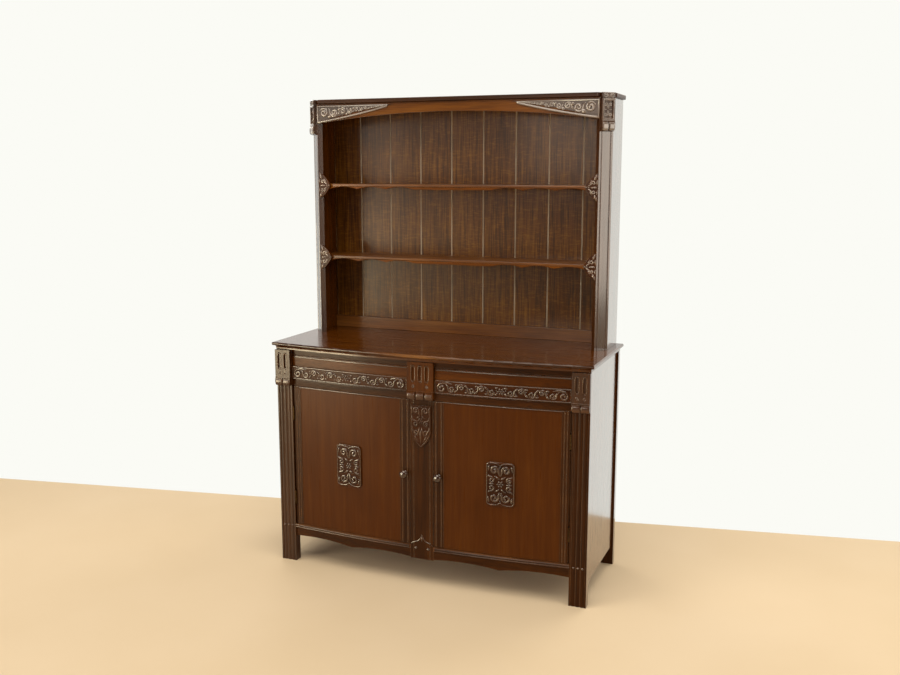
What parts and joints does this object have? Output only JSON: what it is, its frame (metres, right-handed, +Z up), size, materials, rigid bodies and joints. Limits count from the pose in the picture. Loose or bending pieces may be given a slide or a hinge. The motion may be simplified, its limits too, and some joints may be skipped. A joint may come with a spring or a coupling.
{
  "type": "welsh dresser",
  "caption": "Bow-fronted dark oak dresser: carved drawers over knobbed doors on reeded posts, with an open plate rack of shelves under an arched, carved frieze.",
  "frame": {"origin": "on the floor, under the middle of the overall width and depth", "axes": "+X to the right, +Z up, the front faces -Y"},
  "size_m": [1.22, 0.49, 1.738],
  "materials": {
    "frame_oak": "gloss",
    "panel_oak": "gloss",
    "inside_wood": "matte",
    "knob_wood": "gloss",
    "hinge_brass": "satin"
  },
  "bodies": {
    "carcase": {"aprons": "frame_oak", "arched_frieze": "frame_oak", "back_posts": "frame_oak", "base_back_panel": "inside_wood", "bead_mouldings": "frame_oak", "centre_corbel": "frame_oak", "centre_muntin": "frame_oak", "centre_partition": "inside_wood", "cornice": "frame_oak", "cupboard_floor": "inside_wood", "drawer_kickers": "inside_wood", "drawer_rails": "frame_oak", "drawer_runners": "inside_wood", "front_corbels": "frame_oak", "left_cupboard_shelf": "inside_wood", "left_front_post": "frame_oak", "left_rack_post": "frame_oak", "left_rack_side": "frame_oak", "left_side_panel": "panel_oak", "muntin_pendant": "frame_oak", "post_hinges": "hinge_brass", "rack_back_rail": "frame_oak", "rack_backboards": "panel_oak", "rack_corbels": "frame_oak", "rack_lower_shelf": "frame_oak", "rack_upper_shelf": "frame_oak", "right_cupboard_shelf": "inside_wood", "right_front_post": "frame_oak", "right_rack_post": "frame_oak", "right_rack_side": "frame_oak", "right_side_panel": "panel_oak", "shelf_bearers": "inside_wood", "shelf_brackets": "frame_oak", "shelf_strips": "frame_oak", "spandrels": "frame_oak", "top_board": "frame_oak", "top_rails": "frame_oak"},
    "left_door": {"left_door_panel": "panel_oak", "left_door_hinge_stile": "frame_oak", "left_door_lock_stile": "frame_oak", "left_door_plaque": "frame_oak", "left_door_knob": "knob_wood", "left_door_hinges": "hinge_brass"},
    "left_drawer": {"left_drawer_front": "frame_oak", "left_drawer_band": "frame_oak", "left_drawer_sides": "inside_wood", "left_drawer_back": "inside_wood", "left_drawer_bottom": "inside_wood"},
    "right_door": {"right_door_panel": "panel_oak", "right_door_hinge_stile": "frame_oak", "right_door_lock_stile": "frame_oak", "right_door_plaque": "frame_oak", "right_door_knob": "knob_wood", "right_door_hinges": "hinge_brass"},
    "right_drawer": {"right_drawer_front": "frame_oak", "right_drawer_band": "frame_oak", "right_drawer_sides": "inside_wood", "right_drawer_back": "inside_wood", "right_drawer_bottom": "inside_wood"}
  },
  "joints": [
    {"name": "left_door_hinge", "type": "hinge", "parent": "carcase", "child": "left_door", "pos_m": [-0.5325, -0.18833, 0.4175], "axis": [0, 0, -1], "range_deg": [0, 100]},
    {"name": "right_door_hinge", "type": "hinge", "parent": "carcase", "child": "right_door", "pos_m": [0.5325, -0.18833, 0.4175], "axis": [0, 0, 1], "range_deg": [0, 100]},
    {"name": "left_drawer_slide", "type": "slide", "parent": "carcase", "child": "left_drawer", "axis": [0, -1, 0], "range_m": [0, 0.28]},
    {"name": "right_drawer_slide", "type": "slide", "parent": "carcase", "child": "right_drawer", "axis": [0, -1, 0], "range_m": [0, 0.28]}
  ]
}
